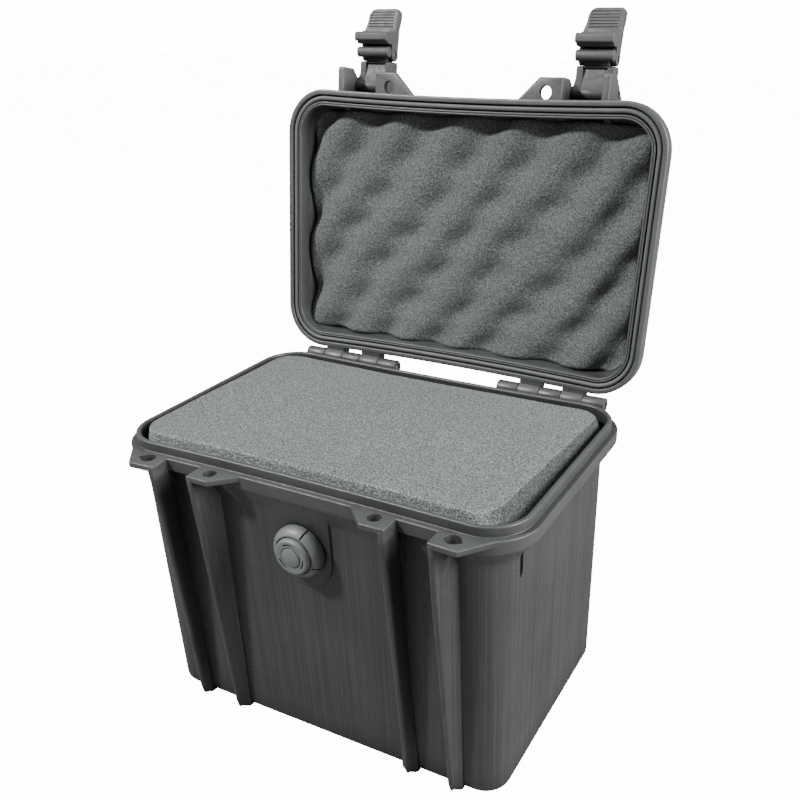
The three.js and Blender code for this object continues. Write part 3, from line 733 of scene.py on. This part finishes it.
# ---- carry handle ----
def make_handle():
    (py, pz), t = HANDLE_PIN, 4.5
    tip = py - 42
    grip = [(tip + 6.5 + 6.5 * math.copysign(abs(math.cos(a)) ** 0.7, math.cos(a)),
             pz + t * math.copysign(abs(math.sin(a)) ** 0.7, math.sin(a)))
            for a in (2 * math.pi * i / 40 for i in range(40))]
    handle = prism("carry_handle_skin", grip, -55, 55, "X", 0.8)
    arms = []
    for s, _ in SIDES:
        x = span(s, 45, 55)
        arms.append(rod("eye", (py, pz), t, *x, "X", 40, 0.7))
        arms.append(block("arm", x, (tip + 6, py), (pz - t + 0.4, pz + t - 0.4), 1.2))
    union(handle, *arms)
    cut(handle, rod("bore", (py, pz), 2.3, -60, 60, "X", 32, 0))
    install(handle, "handle", "carry_handle", HANDLE, on_lid=True)


# ---- purge valve ----
def make_valve():
    f = VALVE_Y - 0.3
    back, face = f - 0.1, VALVE_Y - 12.2
    profile = [(14, back), (17.6, back), (18.1, back - 0.6), (18.2, back - 3), (17.9, back - 4.6),
               (17.2, back - 6.1), (16.2, back - 7.3), (15, back - 8.2), (14, back - 8.7),
               (13.5, back - 8.6), (13.2, back - 7.6), (12.9, back - 7.6), (12.7, face + 2.2),
               (12.3, face + 0.8), (11.6, face + 0.15), (11, face), (9.9, face + 0.2), (7.5, face + 0.2),
               (7.1, face + 0.6), (6.8, face + 0.6), (6.6, face - 0.1), (6.1, face - 0.4),
               (0.02, face - 0.5), (0.02, f - 3.4), (14, f - 3.4)]
    knob = turned("valve_knob_skin", 0, VALVE_Z, profile)
    cuts = []
    for i in range(4):
        key = block("key", (14.3, 20), (back - 12, back + 1), (-0.55, 0.55))
        key.data.transform(Matrix.Rotation(math.radians(25 + 90 * i), 4, "Y"))
        key.data.transform(Matrix.Translation((0, 0, VALVE_Z * MM)))
        cuts.append(key)
    for i in range(3):
        a0 = math.radians(120 * i + 78)
        arc = [(9.6, a0 + k * 0.1) for k in range(9)] + [(8.7, a0 + k * 0.1) for k in reversed(range(9))]
        cuts.append(prism("vent", [(r * math.cos(a), VALVE_Z + r * math.sin(a)) for r, a in arc],
                          face - 2, face + 2, "Y", 0))
    cut(knob, *cuts)
    install(knob, "purge_knob", "valve_knob", VALVE)


# ---- foam ----
def lean_shift(p):
    """How far the top of the upper foam leans at p: back edge and front right corner pressed in."""
    half_w, half_d = 136, 84
    if p.z < H - 12:
        return Vector((0, 0, 0))
    rise, above = (p.z - H + 12) / 21, max(0.0, p.z - H + 3) / 12
    to_right, to_back = max(0.0, p.x) / half_w, max(0.0, p.y) / half_d
    from_back, from_front = (half_d - p.y) / (2 * half_d), (half_d + p.y) / (2 * half_d)
    return Vector((-9 * to_right * from_back * above, -3.6 * to_back * rise, -1.5 * from_front * rise))


def foam_block(name, node, stations, voxel, rough, notch=None, lean=False):
    """Foam block with soft edges and an uneven skin; voxel is its mesh size, rough its unevenness."""
    foam = loft(name, stations, 4)
    if notch:
        cut(foam, notch)
    mod = foam.modifiers.new("even", "REMESH")
    mod.mode, mod.voxel_size = "VOXEL", voxel * MM
    mod = foam.modifiers.new("soft", "SMOOTH")
    mod.factor, mod.iterations = 0.5, 1
    bake(foam)
    points = [(v.co / MM, v.normal.copy()) for v in foam.data.vertices]
    moved = []
    for p, normal in points:
        lift = noise.noise(p * 0.02) * rough + noise.noise(p * 0.35) * rough * 0.25
        shift = lean_shift(p) if lean else Vector((0, 0, 0))
        moved += list((p + normal * lift + shift) * MM)
    foam.data.vertices.foreach_set("co", moved)
    install(foam, "base", node, FOAM)


def make_base_foam():
    notch = block("notch", (-16, 16), (-95, -77.5), (VALVE_Z - 15.5, VALVE_Z + 15.5))
    foam_block("foam_upper_block", "foam_upper", [
        (200, 100, 12, 0, 112.8, 0), (265, 167, 19, 0, 112.8, 2), (267, 167, 19, 1, H - 14, 0),
        (280, 171, 20, BOW, H - 3, 2), (276.4, 168, 18, BOW, H + 2, 1),
        (271.6, 167, 17, BOW, H + 9.3, 1), (200, 100, 12, 0.5, H + 9.3, 0)], 1.3, 0.4, notch,
        lean=True)
    foam_block("foam_lower_block", "foam_lower", [
        (200, 100, 12, 0, 15.7, 0), (262.4, 171.4, 18, 0, 15.7, 2), (264.6, 173.6, 19, 0.6, 111.6, 2),
        (200, 100, 12, 0, 111.6, 0)], 3.0, 0.3)
    foam_block("foam_floor_pad", "foam_floor", [
        (200, 100, 12, 0, WALL + 0.7, 0), (251, 160, 14, 0, WALL + 0.7, 1), (261, 170, 17, 0, WALL + 5.8, 1),
        (261.4, 170.6, 17, 0, 14.7, 1), (200, 100, 12, 0, 14.7, 0)], 2.0, 0.15)


def make_lid_foam():
    """Convoluted sheet: ridges and hollows in slanting rows, cut to the lid's outline."""
    w, d, r = 275.4, 170, 20
    top, mean, swell = H + LID_H - WALL - 0.5, H + 15, 7
    pitch_x, pitch_y, skew = 47, 27, 0.8
    edge_w, edge_h = 4.0, 3.0
    step = 1.4
    nx, ny = int(w / step), int(d / step)

    def height(x, y):
        """Hollows in slanting rows, each a little deeper where the second wave meets it."""
        a = x + noise.noise(Vector((x, y, 9)) * 0.015) * 5
        b = y + noise.noise(Vector((x, y, 5)) * 0.015) * 5
        across, along = 2 * math.pi * (a + skew * b) / pitch_x, 2 * math.pi * b / pitch_y
        hollow = (1 + math.cos(across)) / 2 * (0.87 + 0.13 * math.cos(along))
        return mean - 4 + swell * hollow ** 1.2 + noise.noise(Vector((x, y, 3)) * 0.5) * 0.2

    def squeeze(i, j):
        """Maps the square grid onto the rounded outline."""
        x, y = (2 * i / nx - 1) * w / 2, (2 * j / ny - 1) * d / 2
        ex, ey = max(0.0, abs(x) - (w / 2 - r)), max(0.0, abs(y) - (d / 2 - r))
        if ex and ey:
            big = max(ex, ey)
            k = big / math.hypot(ex, ey)
            x = math.copysign(w / 2 - r + ex * k, x)
            y = math.copysign(d / 2 - r + ey * k, y)
        return x, y

    verts, faces, row = [], [], nx + 1
    for j in range(ny + 1):
        for i in range(nx + 1):
            x, y = squeeze(i, j)
            edge = min(w / 2 - abs(x), d / 2 - abs(y), edge_w) / edge_w
            drop = (1 - math.sqrt(max(0.0, 1 - (1 - edge) ** 2))) * edge_h
            z = height(x, y) + drop
            fit = 1 - max(0.0, z - H - 11) * 0.0018
            verts.append((x * fit, y * fit, z))
    base = len(verts)
    for j in range(ny + 1):
        for i in range(nx + 1):
            x, y = squeeze(i, j)
            verts.append((x * 0.965, y * 0.965, top))
    for j in range(ny):
        for i in range(nx):
            a = j * row + i
            faces.append((a, a + row, a + row + 1, a + 1))
            faces.append((base + a, base + a + 1, base + a + row + 1, base + a + row))
    border = list(range(nx)) + [j * row + nx for j in range(ny)]
    border += [ny * row + i for i in range(nx, 0, -1)] + [j * row for j in range(ny, 0, -1)]
    for a, b in zip(border, border[1:] + border[:1]):
        faces.append((a, b, base + b, base + a))
    foam = new_object("foam_lid_convoluted", verts, faces)
    install(foam, "lid", "foam_lid", LID_FOAM, on_lid=True, smooth=60)


make_base()
make_lid()
make_gasket()
for _side, _tag in SIDES:
    make_arm(_side, _tag)
    make_lever(_side, _tag)
make_pins()
make_handle()
make_valve()
make_base_foam()
make_lid_foam()
for _node in ("valve_body", "valve_nut"):
    frame["nodes"][_node].data.materials[0] = VALVE
frame["nodes"]["valve_seal"].data.materials[0] = RUBBER
frame["nodes"]["valve_membrane"].data.materials[0] = moulded("membrane", 0.8, 0.8)


# ---- stage, light and camera ----
def seen_or_lit(tree, seen, lit):
    """Shader that the camera sees one way and the light bounces see another."""
    path = tree.nodes.new("ShaderNodeLightPath")
    mix = tree.nodes.new("ShaderNodeMixShader")
    tree.links.new(path.outputs["Is Camera Ray"], mix.inputs[0])
    tree.links.new(lit, mix.inputs[1])
    tree.links.new(seen, mix.inputs[2])
    return mix.outputs[0]


def make_floor():
    bpy.ops.mesh.primitive_plane_add(size=14, location=(0, 0, 0))
    floor = bpy.context.object
    floor.name = "floor"
    g = Graph("floor_paper")
    g.set(color=g.mix(g.noise(3, 2), grey(0.18, (1, 1, 1)), grey(0.20, (1, 1, 1))), rough=1.0,
          spec=0.0)
    glow = g.node("Emission", {"Color": (1, 1, 1, 1), "Strength": 14.0})
    both = g.node("AddShader", {0: glow.outputs[0], 1: g.shader.outputs[0]})
    out = g.tree.nodes["Material Output"]
    g.tree.links.new(seen_or_lit(g.tree, both.outputs[0], g.shader.outputs[0]),
                     out.inputs["Surface"])
    floor.data.materials.append(g.material)


def make_world():
    """White surroundings for the camera and a dim, even sky for the light."""
    world = bpy.data.worlds.new("studio")
    bpy.context.scene.world = world
    world.use_nodes = True
    tree = world.node_tree
    white = tree.nodes["Background"]
    white.inputs["Color"].default_value = (1, 1, 1, 1)
    white.inputs["Strength"].default_value = 16.0
    sky = tree.nodes.new("ShaderNodeBackground")
    sky.inputs["Color"].default_value = (1, 1, 1, 1)
    sky.inputs["Strength"].default_value = 0.32
    tree.links.new(seen_or_lit(tree, white.outputs[0], sky.outputs[0]),
                   tree.nodes["World Output"].inputs["Surface"])


def lamp(name, place, size, power):
    """Round area lamp in metres and watts, aimed at the middle of the case."""
    data = bpy.data.lights.new(name, "AREA")
    data.shape, data.size, data.energy = "DISK", size, power
    obj = bpy.data.objects.new(name, data)
    bpy.context.scene.collection.objects.link(obj)
    obj.location = place
    towards = Vector((0, 0, 0.2)) - obj.location
    obj.rotation_euler = towards.to_track_quat("-Z", "Y").to_euler()


def make_light():
    make_floor()
    make_world()
    lamp("key_front_left", (-1.15, -1.05, 1.75), 0.22, 88)
    lamp("top_soft", (-0.3, 0.0, 1.9), 0.9, 6)
    lamp("right_soft", (1.5, 0.05, 0.95), 0.9, 74)


def make_camera():
    """Three-quarter view from the front right and above; the frame is an off-centre crop."""
    data = bpy.data.cameras.new("camera")
    data.sensor_width, data.lens = 36, 39.78
    data.shift_x, data.shift_y = -0.0667, 0.1101
    cam = bpy.data.objects.new("camera", data)
    bpy.context.scene.collection.objects.link(cam)
    cam.location = Vector((304.49, -464.59, H + 261.33)) * MM
    cam.rotation_euler = (1.0628, 0.0119, 0.4784)
    bpy.context.scene.camera = cam


make_light()
make_camera()
